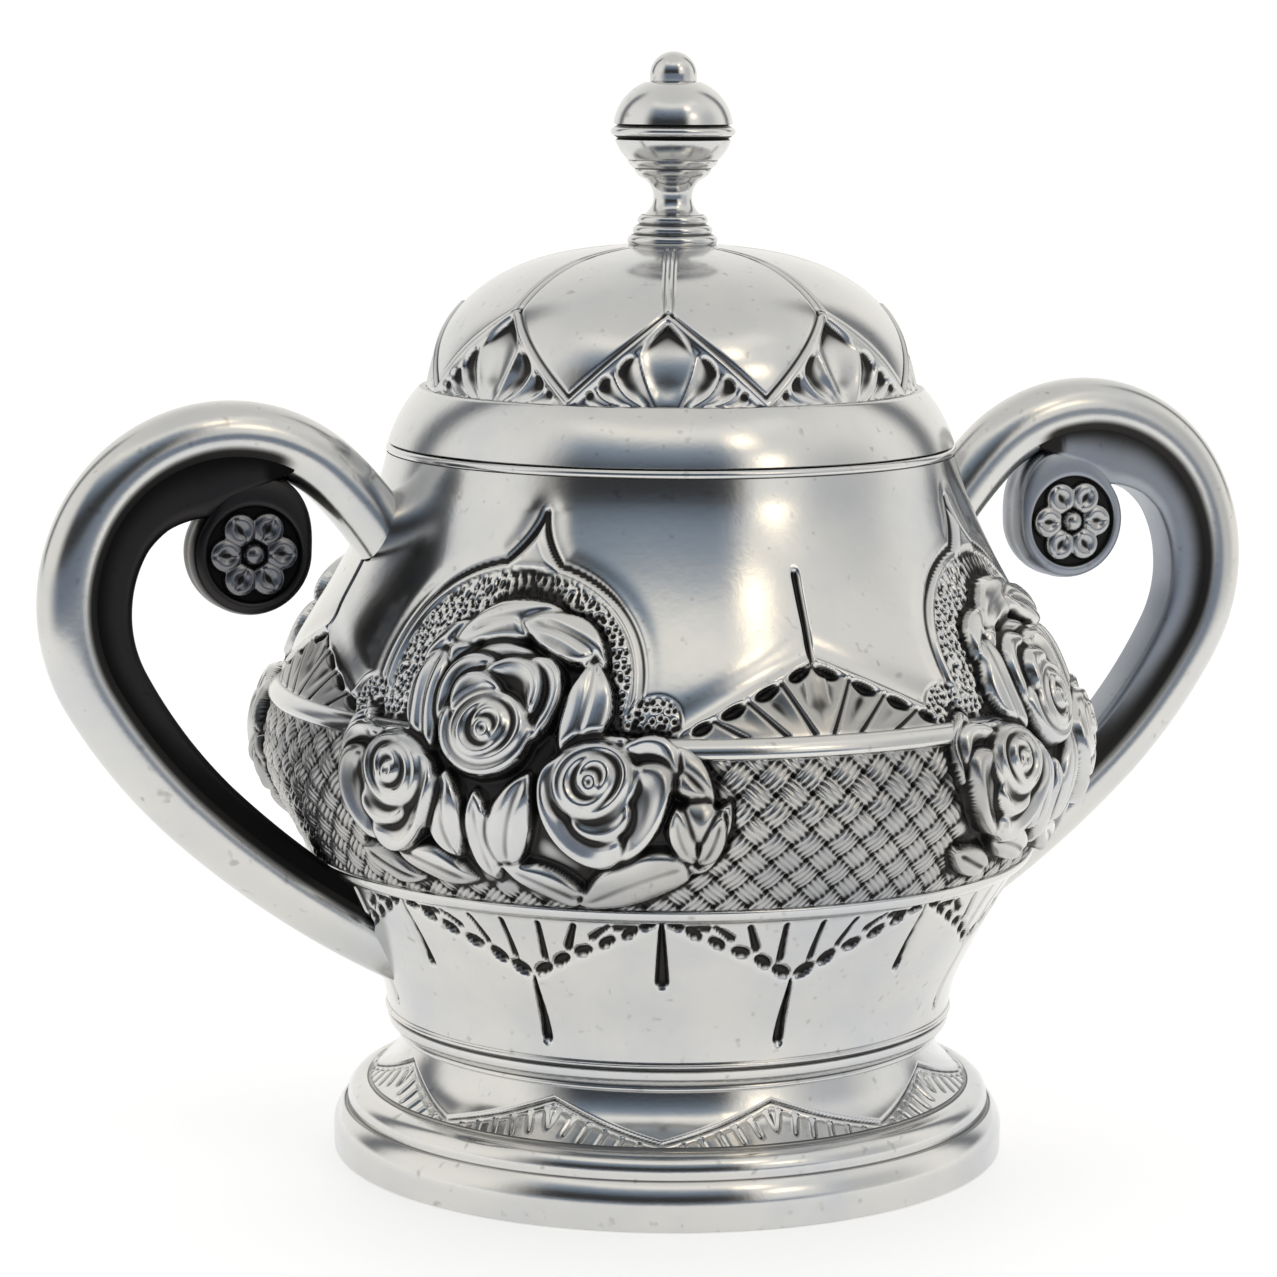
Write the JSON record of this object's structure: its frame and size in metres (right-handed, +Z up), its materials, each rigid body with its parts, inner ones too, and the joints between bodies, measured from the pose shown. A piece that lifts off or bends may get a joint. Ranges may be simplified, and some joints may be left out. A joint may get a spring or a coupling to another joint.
{
  "type": "covered sugar bowl",
  "caption": "Covered sugar bowl with chased roses, woven band, scroll handles and a spread foot; the domed lid with a ball finial lifts off to reach the sugar.",
  "frame": {"origin": "centre of the foot's resting face, on the bowl's axis", "axes": "+Z up along the bowl's axis, X through the two handles, -Y the front"},
  "size_m": [0.1754, 0.111, 0.15],
  "materials": {
    "polished_silver": "hand-polished raised silver, oxidised in the chasing",
    "mounts_silver": "polished turned silver mounts",
    "handle_silver": "polished silver tube and strap, dark in the crease",
    "oxidised_silver": "cast silver flowers left oxidised",
    "finial_silver": "polished turned silver",
    "brass_fixing": "plain turned brass, worn"
  },
  "bodies": {
    "bowl": {"bowl_body": "polished_silver", "mouth_ring": "mounts_silver", "upper_band_wire": "mounts_silver", "lower_band_wire": "mounts_silver", "foot_collar": "mounts_silver", "foot": "mounts_silver", "foot_rim_wire": "mounts_silver", "left_handle_tube": "handle_silver", "left_handle_scroll": "handle_silver", "left_rosette_front": "oxidised_silver", "left_rosette_back": "oxidised_silver", "right_handle_tube": "handle_silver", "right_handle_scroll": "handle_silver", "right_rosette_front": "oxidised_silver", "right_rosette_back": "oxidised_silver"},
    "lid": {"lid_dome": "polished_silver", "lid_shoulder": "polished_silver", "lid_bezel": "polished_silver", "finial_base": "finial_silver", "finial_stem": "finial_silver", "finial_ball_lower": "finial_silver", "finial_belt": "finial_silver", "finial_ball_upper": "finial_silver", "finial_cap": "finial_silver", "finial_stud": "brass_fixing", "finial_washer": "brass_fixing", "finial_nut": "brass_fixing"}
  },
  "joints": [
    {"name": "lid_lift", "type": "slide", "parent": "bowl", "child": "lid", "axis": [0, 0, 1], "range_m": [0, 0.07]}
  ]
}
